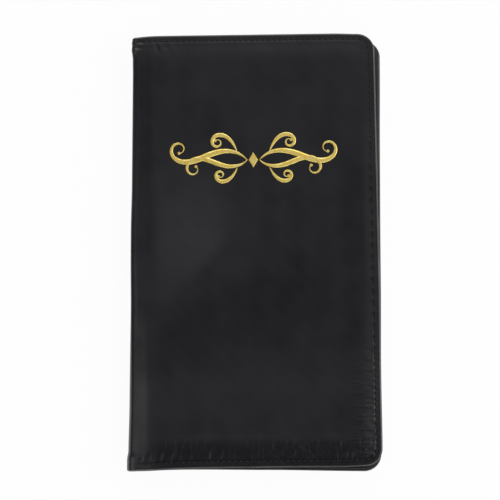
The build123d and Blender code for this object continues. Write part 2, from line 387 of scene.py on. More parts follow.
def leather_relief(side, s, y):
    """Height of the leather over its margin: the padded field, the groove beside the spine, the stitches'
    furrow with its puckers, the bead along the edge, the seam's creases, and the field's slow rise and
    fall."""
    u = s - flat_offset
    inset = inset_from_edge(side, u, y)
    field = field_share(side, u, y)
    on_sheet = smooth((u + 1.0) / 4.0)
    groove = bell(u - 5.9, 1.8) * smooth((half_height - 7 - y) / 9) * smooth((y + 30) / 50)
    height = field_rise * field * np.sin(spine_turn(s)) - 0.10 * groove + spine_relief(side, s, y)
    pucker = stitch_pucker(side, u, y)
    deep = 0.10 + 0.05 * smooth((-y - 20) / 60)
    height -= 0.12 * dimples(side, u, y, inset)
    height -= on_sheet * deep * (1 + 0.4 * pucker) * bell(inset - stitch_inset, 0.8)
    height += on_sheet * 0.03 * bell(inset - stitch_inset - 1.6, 1.0) * (1 - 0.7 * pucker)
    height += on_sheet * 0.03 * bell(inset - 1.4, 0.8) * (1 - 0.4 * pucker)
    height += on_sheet * seam_creases(side, u, y, inset)
    fine = 0.012 * waves(u, y, side.seed + 7, 9, 6, 22)
    return height + smooth((inset - 3.0) / 12.0) * on_sheet * sag(side, u, y) * field + on_sheet * fine


def rim(s_lines, y_lines, band, radii):
    """Rim of a sheet with round corners, as rim points and inward ways: a rim point plus d times its way
    is the point at inset d, and every corner's arc shrinks to the inner grid's corner at the band's width.
    Two radii leave the sheet open at its first column, four go all round."""
    middle = [
        np.stack([s_lines, np.full_like(s_lines, y_lines[-1])], -1),
        np.stack([np.full_like(y_lines, s_lines[-1]), y_lines[::-1]], -1),
        np.stack([s_lines[::-1], np.full_like(s_lines, y_lines[0])], -1),
        np.stack([np.full_like(y_lines, s_lines[0]), y_lines], -1),
    ]
    ways = np.array([(0, -1), (-1, 0), (0, 1), (1, 0)], float)
    points, inward = [], []
    for k in range(3 if len(radii) == 2 else 4):
        points.append(middle[k] - band * ways[k])
        inward.append(np.broadcast_to(ways[k], middle[k].shape))
        if k == len(radii):
            break
        both = ways[k] + ways[(k + 1) % 4]
        steps = max(4, int(np.ceil(radii[k] * np.pi / 2 / grid_step)))
        turn = np.linspace(0, np.pi / 2, steps + 1)[1:-1, None]
        arc = -np.cos(turn) * ways[k] - np.sin(turn) * ways[(k + 1) % 4]
        share = radii[k] / band
        points.append(middle[k][-1] - (band - radii[k]) * both + radii[k] * arc)
        inward.append((1 - share) * both - share * arc)
    if len(radii) == 4:
        points.append(points[0][:1])
        inward.append(inward[0][:1])
    return np.concatenate(points), np.concatenate(inward)


def grid_faces(rows, columns, first=0, closed=(False, False)):
    """Quads between the neighbouring points of a grid that is numbered row by row. Its rows, its
    columns or both may close round."""
    row = np.arange(rows if closed[0] else rows - 1)[:, None]
    column = np.arange(columns if closed[1] else columns - 1)
    here, below = row * columns, (row + 1) % rows * columns
    after = (column + 1) % columns
    return first + np.stack([here + column, here + after, below + after, below + column], -1).reshape(-1, 4)


def write_attribute(mesh, name, values):
    """Stores one number or one vector for each point of a mesh."""
    kind, field = ("FLOAT", "value") if values.ndim == 1 else ("FLOAT_VECTOR", "vector")
    mesh.attributes.new(name, kind, "POINT").data.foreach_set(field, values.astype(np.float32).ravel())


def finished_mesh(name, points, flat_place, faces, material, sharp_from=None):
    """A closed mesh object in metres: doubles merged and faces outwards. The faces from sharp_from on are
    flat, with sharp edges, so that they don't turn the smooth ones' normals."""
    mesh = bpy.data.meshes.new(name)
    mesh.from_pydata((points * mm).tolist(), [], faces)
    write_attribute(mesh, "flat_place", flat_place * mm)
    smooth_faces = np.ones(len(mesh.polygons), bool)
    if sharp_from is not None:
        smooth_faces[sharp_from:] = False
    mesh.polygons.foreach_set("use_smooth", smooth_faces)
    work = bmesh.new()
    work.from_mesh(mesh)
    bmesh.ops.remove_doubles(work, verts=work.verts, dist=1e-7)
    bmesh.ops.recalc_face_normals(work, faces=work.faces)
    for face in work.faces:
        if not face.smooth:
            for edge in face.edges:
                edge.smooth = False
    work.to_mesh(mesh)
    work.free()
    mesh.materials.append(material)
    piece = bpy.data.objects.new(name, mesh)
    bpy.context.scene.collection.objects.link(piece)
    return piece


def even_lines(first, last, step):
    """Evenly spaced numbers from first to last, about one step apart."""
    return np.linspace(first, last, max(2, int(round((last - first) / step)) + 1))


def sheet_piece(name, s_lines, y_lines, band, radii, profile, place, material, bend_until=None):
    """Closed shell of a sheet. Its outer face is a grid with a rim band; profile rows (inset, depth,
    relief share) run from the band's inner edge on the outer face round the rim to the inner face, which
    is flat faces across the sheet. place(s, y, depth, share) gives the points."""
    grid_s, grid_y = np.meshgrid(s_lines, y_lines, indexing="ij")
    edge, way = rim(s_lines, y_lines, band, radii)
    inset, depth, share = (np.array(column)[:, None] for column in zip(*profile))
    rows, columns, first = len(profile), len(edge), grid_s.size
    all_s = np.concatenate([grid_s.ravel(), (edge[:, 0] + inset * way[:, 0]).ravel()])
    all_y = np.concatenate([grid_y.ravel(), (edge[:, 1] + inset * way[:, 1]).ravel()])
    all_depth = np.concatenate([np.full(first, profile[0][1]), np.repeat(depth, columns)])
    all_share = np.concatenate([np.ones(first), np.repeat(share, columns)])
    points = place(all_s, all_y, all_depth, all_share)
    last_row = first + (rows - 1) * columns + np.arange(columns)
    faces = grid_faces(len(s_lines), len(y_lines)).tolist() + grid_faces(rows, columns, first).tolist()
    sharp_from = len(faces)
    if len(radii) == 4:
        faces.append(last_row[:-1].tolist())
    else:
        bends = int(np.searchsorted(s_lines, bend_until))
        head = last_row[: bends + 1]
        tail = last_row[::-1][: bends + 1]
        faces += np.stack([head[:-1], head[1:], tail[1:], tail[:-1]], -1).tolist()
        sharp_from += bends
        faces.append(last_row[bends : columns - bends].tolist())
        ring_first = first + np.arange(1, rows) * columns
        cap = np.concatenate([np.arange(len(y_lines)), ring_first, ring_first[::-1] + columns - 1])
        faces.append(cap.tolist())
    flat_place = np.stack([all_s, all_y, all_depth], -1)
    return finished_mesh(name, points, flat_place, faces, material, sharp_from)


def grain_group():
    """Leather grain: rounded cells with fine pores between them, as a height in grain depths, and a
    slow mottle for wear. The place is in metres on the flat sheet."""
    group = bpy.data.node_groups.new("leather_grain", "ShaderNodeTree")
    for name, kind in (("Place", "Vector"), ("Cells per metre", "Float")):
        group.interface.new_socket(name, in_out="INPUT", socket_type="NodeSocket" + kind)
    for name in ("Height", "Mottle"):
        group.interface.new_socket(name, in_out="OUTPUT", socket_type="NodeSocketFloat")
    place, cell_count = group.nodes.new("NodeGroupInput").outputs[:2]
    warp = add_node(group, "TexNoise", {"Vector": place, "Scale": 500.0, "Detail": 2.0})
    warped = add_node(group, "MixRGB", {0: 0.0004, 1: place, 2: warp.outputs["Color"]}, blend_type="ADD")
    cells = add_node(group, "TexVoronoi", {"Vector": warped, "Scale": cell_count}, feature="DISTANCE_TO_EDGE")
    edge_range = {"Value": cells.outputs["Distance"], "From Max": 0.28}
    edges = add_node(group, "MapRange", edge_range, interpolation_type="SMOOTHSTEP")
    pores = add_node(group, "TexNoise", {"Vector": place, "Scale": 5200.0, "Detail": 3.0, "Roughness": 0.6})
    total = add_node(group, "Math", {0: pores, 1: 0.35, 2: edges}, operation="MULTIPLY_ADD")
    slow = add_node(group, "TexNoise", {"Vector": place, "Scale": 26.0, "Detail": 5.0, "Roughness": 0.62})
    mottle = add_node(group, "MapRange", {"Value": slow, "From Min": 0.32, "From Max": 0.68})
    feed(group.nodes.new("NodeGroupOutput"), {"Height": total, "Mottle": mottle})
    return group


leather_grain = grain_group()


def read_attribute(tree, name, output="Vector"):
    """Socket that reads an attribute of the mesh."""
    return add_node(tree, "Attribute", attribute_name=name).outputs[output]


def leather(name, dark, light, rough, smooth_rough, grain, cells, specular):
    """Black coated leather: colour, gloss and specular drift with the mottle, the painted sheen attribute
    adds painted highlights and painted shade to the specular strength by place, and the grain is a fine
    bump. The creases attribute says how strongly fine creases run square to the tail seam and to the free
    edge's."""
    material, tree, shader = new_material(name)
    place = read_attribute(tree, "flat_place")
    grained = add_node(tree, "Group", node_tree=leather_grain)
    feed(grained, {"Place": place, "Cells per metre": cells})
    mottle = grained.outputs["Mottle"]
    colour = add_node(tree, "MixRGB", {0: mottle, 1: dark, 2: light})
    gloss = add_node(tree, "MapRange", {"Value": mottle, "To Min": rough, "To Max": smooth_rough})
    height = grained.outputs["Height"]
    bump = add_node(tree, "Bump", {"Height": height, "Strength": 1.0, "Distance": grain * mm})
    shares = add_node(tree, "SeparateXYZ", {0: read_attribute(tree, "creases")}).outputs
    heights = {}
    for axis, squeeze in enumerate([(1.0, 0.2, 0.0), (0.2, 1.0, 0.0)]):
        squeezed = add_node(tree, "VectorMath", {0: place, 1: squeeze}, operation="MULTIPLY")
        lines = add_node(tree, "TexNoise", {"Vector": squeezed, "Scale": 520.0, "Detail": 2.0})
        heights[axis] = add_node(tree, "Math", {0: lines, 1: shares[axis]}, operation="MULTIPLY")
    creases = add_node(tree, "Math", heights, operation="ADD")
    creased_look = {"Height": creases, "Normal": bump, "Strength": 1.0, "Distance": 0.35 * mm}
    creased = add_node(tree, "Bump", creased_look)
    drift_range = {"Value": mottle, "To Min": 0.84 * specular, "To Max": 1.16 * specular}
    drift = add_node(tree, "MapRange", drift_range)
    # The sheen attribute paints highlights and shade into the specular strength, by place, on top of the
    # mottle's random drift.
    painted_sheen = read_attribute(tree, "painted_sheen", "Fac")
    drift_and_painted_sheen = add_node(tree, "Math", {0: drift, 1: painted_sheen}, operation="ADD", use_clamp=True)
    feed(shader, {"Base Color": colour, "Roughness": gloss, "Normal": creased})
    feed(shader, {"Specular IOR Level": drift_and_painted_sheen})
    return material


cover_black = (0.0066, 0.0066, 0.0088, 1)
cover_worn = (0.0090, 0.0090, 0.0114, 1)
cover_look = {"rough": 0.30, "smooth_rough": 0.22, "grain": 0.004, "cells": 1300.0, "specular": 0.5}
cover_leather = leather("cover_leather", cover_black, cover_worn, **cover_look)


def write_painted_sheen_and_creases(piece, side):
    """Writes the painted sheen attribute, which raises or lowers the leather's specular strength by place to
    paint highlights and shade: painted highlights on the spine's side of the field's ridge, across the low
    field, at the head, along the spine and along the free edge's margin, and painted shade along the
    trough, along the tail, beside the spine's head, in the middle of the free edge's margin, in the stitch
    dimples and at the stitches near the tail corner. A slow random drift is added. It also writes how strong
    the leather's finest creases are."""
    mesh = piece.data
    place = np.empty(len(mesh.vertices) * 3, np.float32)
    mesh.attributes["flat_place"].data.foreach_get("vector", place)
    s, y = place.reshape(-1, 3)[:, :2].T / mm
    u = s - flat_offset
    past_edge = u - side.width
    past_tail = -y - half_height
    inset = inset_from_edge(side, u, y)
    off_ridge, along_ridge = from_ridge(u, y)
    # Painted highlights and shade on the field: a painted highlight on the spine's side of the ridge, across
    # the low field and at the head, and painted shade along the trough and the tail.
    ridge_highlight = smooth((2 - off_ridge) / 10) * bell(np.minimum(off_ridge + 20, 0), 28) * bell(along_ridge, 30)
    ridge_highlight = ridge_highlight * smooth((u - 6) / 8) * (1 - smooth((u - 36) / 26) * smooth((y + 12) / 14))
    trough_shade = bell(y + 30 - 0.15 * (u - 60), 22) * smooth((off_ridge + 2) / 16)
    low_field_highlight = bell(y + 77, 17) * (0.3 + 0.7 * smooth((104 - u) / 26))
    tail_shade = smooth((past_tail + 17) / 8) * smooth((u - 6) / 8)
    head_highlight = smooth((y - half_height + 18) / 12)
    painted_sheen = 0.40 * ridge_highlight - 0.16 * trough_shade + 0.12 * low_field_highlight - 0.13 * tail_shade + 0.12 * head_highlight

    # Painted highlights on the spine's rounded side towards the head, along its tail half and as a glint at
    # its tail end, and painted shade beside its head.
    spine_head_shade = smooth(u / 3) * (1 - smooth((u - 6) / 5)) * smooth((y - 15) / 30)
    spine_tail_highlight = (1 - smooth((u - 2) / 9)) * (smooth((-y - 82) / 18) + 1.5 * smooth((-y - 102) / 8))
    spine_side_highlight = (1 - smooth((u + 0.5) / 1.5)) * smooth((y + 10) / 40)
    spine_end_glint = (1 - smooth((u + 0.2) / 2.2)) * smooth((-y - 112.8) / 1.0)
    spine_end_glint += 0.5 * (1 - smooth((u + 0.2) / 1.6)) * bell(y + 109.4, 0.9)
    painted_sheen += 0.16 * spine_tail_highlight - 0.14 * spine_head_shade + 0.35 * spine_side_highlight + 0.28 * spine_end_glint

    # Painted highlights along the free edge's margin, and painted shade in the middle of that margin, in the
    # stitch dimples and at the stitches near the tail corner.
    edge_highlight = smooth((past_edge + 9) / 4) * smooth((inset - 0.9) / 0.8)
    low_edge_highlight = smooth((past_edge + 12) / 7) * smooth((-y - 10) / 60) * (0.7 + 0.3 * smooth((inset - 3) / 2))
    low_edge_highlight = low_edge_highlight * (1 + 0.9 * smooth((-y - 68) / 22) * smooth((inset - 3.4) / 1.5))
    edge_shade = smooth((past_edge + 24) / 10) * bell(y - 24, 24)
    painted_sheen += 0.27 * low_edge_highlight - 0.16 * edge_shade + 0.34 * edge_highlight * bell(y - 5, 55)
    tail_stitch_shade = smooth((past_edge + 12) / 7) * smooth((-y - 86) / 10) * bell(inset - 3.0, 1.0)
    painted_sheen -= 0.40 * dimples(side, u, y, inset) + 0.38 * tail_stitch_shade
    drift = 0.035 * waves(u, 0.5 * y, side.seed + 50, 9, 4, 20)
    write_attribute(mesh, "painted_sheen", painted_sheen + drift)

    near_seam = smooth((inset - 1.5) / 2) * (1 - smooth((inset - 13) / 6))
    at_tail = near_seam * smooth((past_tail + 20) / 5) * smooth((u - 8) / 10)
    at_tail = at_tail * (0.7 + 0.7 * smooth((u - 40) / 50)) * (1 - 0.5 * smooth((past_edge + 19) / 8))
    at_edge = near_seam * smooth((past_edge + 19) / 6) * smooth((-y - 40) / 40)
    write_attribute(mesh, "creases", np.stack([at_tail, at_edge, np.zeros_like(u)], -1))


def sheet_profile(band, face_depth, back_depth, back_rows=(), step=0.45):
    """Rows of a sheet's rim for sheet_piece: across the band on its face, round the edge in a half
    circle, and along its back."""
    half = (back_depth - face_depth) / 2
    rows = [(inset, face_depth, 1.0) for inset in even_lines(abs(half) + 0.1, band, step)[::-1]]
    rows += [
        (abs(half) * (1 - np.sin(turn)), face_depth + half * (1 - np.cos(turn)), np.cos(turn / 2) ** 2)
        for turn in np.linspace(0, np.pi, 7)
    ]
    return rows + (list(back_rows) or [(band, back_depth, 0.0)])


leather_back_rows = [
    (4.0, 2 * skin, 0.0),
    (turn_in - 0.2, 2 * skin, 0.0),
    (turn_in, 2 * skin - 0.2, 0.0),
    (turn_in + 0.1, skin, 0.0),
    (corner_radius, skin, 0.0),
]
leather_profile = sheet_profile(corner_radius, 0.0, 2 * skin, leather_back_rows)


def leather_cover(name, side):
    """Outer leather of one cover, from the middle of the spine to its free edge."""

    def place(s, y, depth, share):
        return on_cover(side, s, y, depth - share * leather_relief(side, s, y))

    s_lines = even_lines(0.0, side.length - corner_radius, grid_step)
    y_lines = even_lines(-half_height + corner_radius, half_height - corner_radius, grid_step)
    shape = (s_lines, y_lines, corner_radius, (corner_radius,) * 2, leather_profile, place)
    piece = sheet_piece(name, *shape, cover_leather, 2 * bend_length)
    write_painted_sheen_and_creases(piece, side)
    return piece


def across_crease(side):
    """Start at the spine and end at the cover of the leather's bend, in metres: beside the middle of the
    spine, and where the sheet lies flat again."""
    start = np.array((0.3, 0, 1.1)) + (spine_x, 0, middle_z)
    end = start + (3.2, 0, 3.2)
    for point in (start, end):
        point[2] = middle_z + side.outward * (point[2] - middle_z)
    return start * mm, end * mm


front_start, front_end = across_crease(front)
back_start, back_end = across_crease(back)
front_leather = leather_cover("front_cover_leather", front)
back_leather = leather_cover("back_cover_leather", back)
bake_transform(front_leather)
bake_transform(back_leather)
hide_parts("front_cover_skin", "front_padding", "spine_skin")
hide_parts("back_cover_skin", "back_padding")

# Stitches: a line of black thread runs round the three free edges of each cover, through all its
# layers. Each stitch lies a little aslant in the furrow that it pulls into the leather, and its ends
# dip into their holes. The same seam shows on the lining.
stitch_length = 2.45
thread_radius = 0.27
thread_lift = 0.10
thread_dip = 0.34
furrow_gap = 0.12
stitch_slant = np.radians(5)
thread_along = np.linspace(-1, 1, 7)[:, None]
thread_round = np.linspace(0, 2 * np.pi, 8, endpoint=False)


def coat(tree, shader, dark, light, share, finish, depth, strength=1.0, height=None):
    """Colours a shader from dark to light by a share, lets a height, or else the share, stand out by a
    depth in millimetres, and feeds the shader's other inputs."""
    colour = add_node(tree, "MixRGB", {0: share, 1: dark, 2: light})
    bump = add_node(tree, "Bump", {"Height": height or share, "Strength": strength, "Distance": depth * mm})
    feed(shader, {"Base Color": colour, "Normal": bump} | finish)


# Black polyester thread, whose plies show as slanting ridges
thread_dark, thread_light = (0.006, 0.006, 0.007, 1), (0.020, 0.020, 0.022, 1)
black_thread, tree, shader = new_material("black_thread")
plies_look = {"Vector": read_attribute(tree, "flat_place"), "Scale": 900.0, "Distortion": 1.0}
plies = add_node(tree, "TexWave", plies_look, bands_direction="DIAGONAL").outputs["Fac"]
thread_finish = {"Roughness": 0.7, "Specular IOR Level": 0.25}
coat(tree, shader, thread_dark, thread_light, plies, thread_finish, depth=0.05, strength=0.8)


def perimeter_runs(side, first_u=5.0):
    """Middles and headings of the stitches round a cover: head, round corner, free edge, corner, tail."""
    corner_u = side.width - corner_radius
    corner_v = half_height - corner_radius
    run_u = corner_u - stitch_pitch * (np.arange(int((corner_u - first_u) / stitch_pitch) + 1) + 0.5)
    run_v = np.full_like(run_u, half_height - stitch_inset)
    side_count = int(round(2 * corner_v / stitch_pitch))
    side_v = (np.arange(side_count) - (side_count - 1) / 2) * stitch_pitch
    side_u = np.full_like(side_v, side.width - stitch_inset)
    around = np.radians([15, 45, 75])
    round_u = corner_u + (corner_radius - stitch_inset) * np.cos(around)
    round_v = corner_v + (corner_radius - stitch_inset) * np.sin(around)
    head = [(run_u, run_v, np.zeros_like(run_u)), (round_u, round_v, around + np.pi / 2)]
    tail = [(round_u, -round_v, np.pi / 2 - around), (run_u, -run_v, np.zeros_like(run_u))]
    return head + [(side_u, side_v, np.full_like(side_v, np.pi / 2))] + tail


def straight_run(start, end):
    """Middles and headings of stitches evenly spaced from start to end, given as (u, v)."""
    start, end = np.array(start, float), np.array(end, float)
    run = end - start
    count = max(1, int(round(np.hypot(*run) / stitch_pitch)))
    middle = start + (np.arange(count)[:, None] + 0.5) / count * run
    return middle[:, 0], middle[:, 1], np.full(count, np.arctan2(run[1], run[0]))


def stitches(name, side, runs, surface, inward=1):
    """Thread stitches on one cover: each is a tube with pointed ends that arches out of the surface.
    surface(u, v) is the depth of what they lie on, and inward is 1 on the lining and -1 outside."""
    u, v, heading = (np.concatenate(column)[:, None, None] for column in zip(*runs))
    radius = thread_radius * np.sqrt(1 - thread_along**4)
    run = thread_along * stitch_length / 2
    across = radius * np.cos(thread_round)
    lift = radius * np.sin(thread_round) + thread_lift - thread_dip * thread_along**2
    turned = heading + stitch_slant
    at_u = u + run * np.cos(turned) - across * np.sin(turned)
    at_v = v + run * np.sin(turned) + across * np.cos(turned)
    depth = surface(u, v) + inward * lift
    points = on_cover(side, (at_u + flat_offset).ravel(), at_v.ravel(), depth.ravel())
    tube = grid_faces(*lift.shape, closed=(False, True))
    faces = (tube + np.arange(len(u))[:, None, None] * lift.size).reshape(-1, 4)
    flat = np.broadcast_to(np.stack([run + 0 * across, across, lift], -1), depth.shape + (3,))
    piece = finished_mesh(name, points, flat.reshape(-1, 3), faces.tolist(), black_thread)
    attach(piece, side.body)
    return piece


def furrow_depth(side):
    """Depth of the outer leather at the bottom of its furrow, beside the stitches' holes."""
    return lambda u, v: -leather_relief(side, u + flat_offset, v) - furrow_gap


for side in (back, front):
    outer_stitches = stitches(f"{side.body}_seam", side, perimeter_runs(side), furrow_depth(side), inward=-1)
    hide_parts(f"{side.body}_stitching")


# Gold foil: a scroll ornament hot-stamped on the upper half of the front cover. Each scroll is a
# ribbon whose bend grows along its run, widest in its middle, and it ends in a dot.
foil_rise = 0.05
foil_sink = 0.03
scroll_tip = 0.3
scroll_points = 96
dot_radius = 0.75
lozenge_half = (2.4, 4.0)
ornament_u, ornament_v = 61.8, 46.5

# Each scroll: start, heading in degrees, length, bend at its start and its end, tightening and width
scrolls = [
    ((3.2, 0.0), 50, 60, -0.075, 0.46, 2.2, 3.0),
    ((3.2, 0.0), -46, 47, 0.095, -0.50, 2.0, 2.5),
    ((8.5, 4.4), 70, 31, -0.03, -0.68, 1.7, 2.1),
    ((8.5, -4.1), -66, 26, 0.035, 0.80, 1.7, 1.9),
]


def scroll_ribbon(start, heading, length, bend_start, bend_end, tightening, width):
    """Middle line of a scroll and the ways from it to the left edge: its bend is a power of the run, and
    its width is a power of a sine."""
    run = np.linspace(0, 1, scroll_points)
    bend = bend_start + (bend_end - bend_start) * run**tightening
    step = length / (scroll_points - 1)
    turn = np.radians(heading) + np.concatenate([[0], np.cumsum((bend[1:] + bend[:-1]) / 2)]) * step
    between = (turn[1:] + turn[:-1]) / 2
    x = start[0] + np.concatenate([[0], np.cumsum(np.cos(between))]) * step
    y = start[1] + np.concatenate([[0], np.cumsum(np.sin(between))]) * step
    half = (scroll_tip + (width - scroll_tip) * np.abs(np.sin(np.pi * run**0.8)) ** 1.3) / 2
    return np.stack([x, y], -1), np.stack([-np.sin(turn), np.cos(turn)], -1) * half[:, None]


def foil_shapes():
    """Flat points, heights over the leather and faces of all the ornament's strokes and dots."""
    across = np.array([-1.0, -1.0, -0.5, 0.0, 0.5, 1.0, 1.0])
    side_rise = [-foil_sink, 0.8 * foil_rise, foil_rise]
    rise = np.array(side_rise + [foil_rise] + side_rise[::-1])
    flats, heights, faces = [], [], []

    def add_rows(points, lift, mirror):
        """Adds a grid of points whose rows close round, for the plain or the mirrored half."""
        rows, columns = points.shape[:2]
        first = sum(map(len, flats))
        flats.append(points.reshape(-1, 2) * (mirror, 1))
        heights.append(np.broadcast_to(lift, (rows, columns)).ravel())
        faces.extend(grid_faces(rows, columns, first, closed=(False, True)).tolist())
        for end in (first, first + (rows - 1) * columns):
            faces.append(list(range(end, end + columns)))

    round_turn = np.linspace(0, 2 * np.pi, 32, endpoint=False)
    circle = np.stack([np.cos(round_turn), np.sin(round_turn)], -1)
    stretch = 1 / (np.abs(circle[:, :1]) / lozenge_half[0] + np.abs(circle[:, 1:]) / lozenge_half[1])
    shares = np.array([1.0, 1.0, 0.9, 0.3])[:, None, None]
    lifts = rise[:4, None]
    add_rows(circle * stretch * shares, lifts, 1)
    for mirror in (1, -1):
        for layer, scroll in enumerate(scrolls):
            middle, half = scroll_ribbon(*scroll)
            step_up = 0.004 * layer + 0.002 * (mirror + 1)
            add_rows(middle[:, None] + half[:, None] * across[:, None], rise + step_up, mirror)
            add_rows(middle[-1] + circle * dot_radius * shares, lifts + step_up + 0.002, mirror)
    return np.concatenate(flats), np.concatenate(heights), faces


# Warm metal with a faint satin and small thin places where the leather shows through
foil_dark, foil_light = (0.81, 0.55, 0.095, 1), (1.0, 0.83, 0.275, 1)
gold_foil, tree, shader = new_material("gold_foil")
patchy_look = {"Vector": read_attribute(tree, "flat_place"), "Scale": 420.0, "Detail": 4.0, "Roughness": 0.6}
patchy = add_node(tree, "TexNoise", patchy_look)
foil_share = add_node(tree, "MapRange", {"Value": patchy, "From Min": 0.35, "From Max": 0.65})
foil_gloss = add_node(tree, "MapRange", {"Value": foil_share, "To Min": 0.5, "To Max": 0.36})
foil_finish = {"Roughness": foil_gloss, "Metallic": 0.72, "Specular IOR Level": 0.5}
coat(tree, shader, foil_dark, foil_light, foil_share, foil_finish, depth=0.006, height=patchy)

foil_flat, foil_height, foil_faces = foil_shapes()
foil_s = foil_flat[:, 0] + ornament_u + flat_offset
foil_y = foil_flat[:, 1] + ornament_v
foil_depth = -leather_relief(front, foil_s, foil_y) - foil_height
foil_points = on_cover(front, foil_s, foil_y, foil_depth)
foil_place = np.stack([foil_s, foil_y, foil_height], -1)
foil_piece = finished_mesh("gold_foil_ornament", foil_points, foil_place, foil_faces, gold_foil)
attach(foil_piece, "front")
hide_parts("foil_ornament")

# Boards: grey millboard with pressed fibres, one in each cover between the padding and the lining. They
# are glued in and can't be seen, and keep the CAD model's shape.
board_dark, board_light = (0.20, 0.19, 0.17, 1), (0.34, 0.32, 0.29, 1)
grey_board, tree, shader = new_material("grey_board")
board_place = add_node(tree, "TexCoord").outputs["Object"]
fibre = add_node(tree, "TexNoise", {"Vector": board_place, "Scale": 900.0, "Detail": 6.0, "Roughness": 0.7})
coat(tree, shader, board_dark, board_light, fibre, {"Roughness": 0.9}, depth=0.05, strength=0.6)
for board_name in ("back_board", "front_board"):
    nodes[board_name].data.materials.clear()
    nodes[board_name].data.materials.append(grey_board)

# Hinge strips: soft black leather glued inside the spine and both creases, from the middle of the
# spine to the lining's edge, so that the creases open and close without cracking.
lining_sheet = 0.5
strip_half = corners_of("spine_hinge_strip")[1][1]
strip_end = 6.6 + flat_offset
strip_band = 0.8
strip_radius = 0.5
pocket_black, pocket_worn = (0.0115, 0.0115, 0.0122, 1), (0.0155, 0.0155, 0.0165, 1)
pocket_look = {"rough": 0.55, "smooth_rough": 0.46, "grain": 0.008, "cells": 1700.0, "specular": 0.4}
pocket_leather = leather("pocket_leather", pocket_black, pocket_worn, **pocket_look)


def hinge_lining(name, side):
    """Strip on the inside of the bend; its face is the inner one, a lining's thickness off the leather."""

    def place(s, y, depth, share):
        ripple = 0.04 * waves(s, y, side.seed + 20, 8, 6, 30)
        return on_cover(side, s, y, depth + share * ripple)

    s_lines = even_lines(0.0, strip_end - strip_band, 0.5)
    y_lines = even_lines(-strip_half + strip_band, strip_half - strip_band, 0.9)
    profile = sheet_profile(strip_band, skin + lining_sheet, skin, step=0.2)
    shape = (s_lines, y_lines, strip_band, (strip_radius,) * 2, profile, place)
    return sheet_piece(name, *shape, pocket_leather, strip_end)


front_hinge = hinge_lining("front_hinge_lining", front)
back_hinge = hinge_lining("back_hinge_lining", back)
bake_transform(front_hinge)
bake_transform(back_hinge)
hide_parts("front_hinge_strip", "spine_hinge_strip")
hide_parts("back_hinge_strip")

# Linings: black woven cloth glued over the board and the turned-in edges of each cover, sewn in with
# the perimeter seam. It steps down to the hinge strip at its spine side.
board_sheet = 1.2
lining_left = 6.7
lining_edge = 1.2
lining_radius = 0.4
sewn_band = corner_radius - lining_edge
inner_step = 0.9
rim_depth = 2 * skin + lining_sheet
sheet_depth = skin + board_sheet + lining_sheet
weave_pitch = 0.5

# Plain weave, whose warp and weft threads cross over and under
cloth_dark, cloth_light = (0.010, 0.010, 0.011, 1), (0.032, 0.032, 0.035, 1)
lining_cloth, tree, shader = new_material("lining_cloth")
cloth_place = read_attribute(tree, "flat_place")
cloth_ways = add_node(tree, "SeparateXYZ", {0: cloth_place}).outputs
turn_per_metre = 2 * np.pi / (weave_pitch * mm)
threads = {}
for axis in (0, 1):
    phase = add_node(tree, "Math", {0: cloth_ways[axis], 1: turn_per_metre}, operation="MULTIPLY")
    threads[axis] = add_node(tree, "Math", {0: phase}, operation="SINE")
crossing = add_node(tree, "Math", threads, operation="MULTIPLY")
slubs = add_node(tree, "TexNoise", {"Vector": cloth_place, "Scale": 700.0, "Detail": 3.0})
weave = add_node(tree, "Math", {0: crossing, 1: 0.4, 2: slubs}, operation="MULTIPLY_ADD")
cloth_share = add_node(tree, "MapRange", {"Value": weave, "From Min": -0.6, "From Max": 1.2})
cloth_finish = {"Roughness": 0.75, "Specular IOR Level": 0.3, "Sheen Weight": 0.15}
coat(tree, shader, cloth_dark, cloth_light, cloth_share, cloth_finish, depth=0.04, height=weave)


def seam_pull(side, u, v, strength):
    """How far the perimeter seam pulls an inner sheet towards the cover, with a pucker at each stitch."""
    inset = inset_from_edge(side, u, v)
    return strength * (1 + 0.3 * stitch_pucker(side, u, v)) * bell(inset - stitch_inset, 0.8)


def lining_depth(side, u, v):
    """Depth of the lining's face: on the turned-in edges, then over the board."""
    over_board = smooth((inset_from_board(side, u, v) + 1.2) / 1.4)
    ripple = 0.02 * waves(u, v, side.seed + 30, 7, 14, 60)
    return rim_depth + (sheet_depth - rim_depth) * over_board + ripple - seam_pull(side, u, v, 0.16)


def laid_sheet(name, node, side, grid, band, radii, profile, place, material, slot, **lie):
    """Sheet that lies on a cover. Laid flat, it is as large as its grid with a band all round it."""
    piece = sheet_piece(name, *grid, band, radii, profile, place, material)
    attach(piece, side.body)
    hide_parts(node)


def sewn_grid(side, left, bottom, top):
    """Grid lines of a sheet that is sewn in with a cover's free edges."""
    right = side.width - lining_edge - sewn_band
    s_lines = even_lines(left + sewn_band + flat_offset, right + flat_offset, inner_step)
    return s_lines, even_lines(bottom + sewn_band, top - sewn_band, inner_step)


def sewn_profile(face, edge_back, board_back):
    """Rim of such a sheet, whose back steps up to the board in its last rows."""
    back_rows = [(sewn_band - 0.6, edge_back, 0.0), (sewn_band, board_back, 0.0)]
    return sheet_profile(sewn_band, face, edge_back, back_rows)


def lining_piece(side):
    """Lining of one cover, with round outer corners and a straight edge beside the hinge strip."""

    def place(s, y, depth, share):
        u = s - flat_offset
        face = share * (lining_depth(side, u, y) - rim_depth)
        to_strip = (1 - share) * (skin - 0.05) * (1 - smooth((u - lining_left - 0.3) / 0.5))
        return on_cover(side, s, y, depth + face - to_strip)

    grid = sewn_grid(side, lining_left, -half_height + lining_edge, half_height - lining_edge)
    profile = sewn_profile(rim_depth, 2 * skin, skin + board_sheet)
    radii = (sewn_band, sewn_band, lining_radius, lining_radius)
    shape = (grid, sewn_band, radii, profile, place, lining_cloth, "lining_cloth")
    lie = {"held": "stretched", "rests_on": [f"{side.body}_board"]}
    laid_sheet(f"{side.body}_cover_lining", f"{side.body}_lining", side, *shape, **lie)


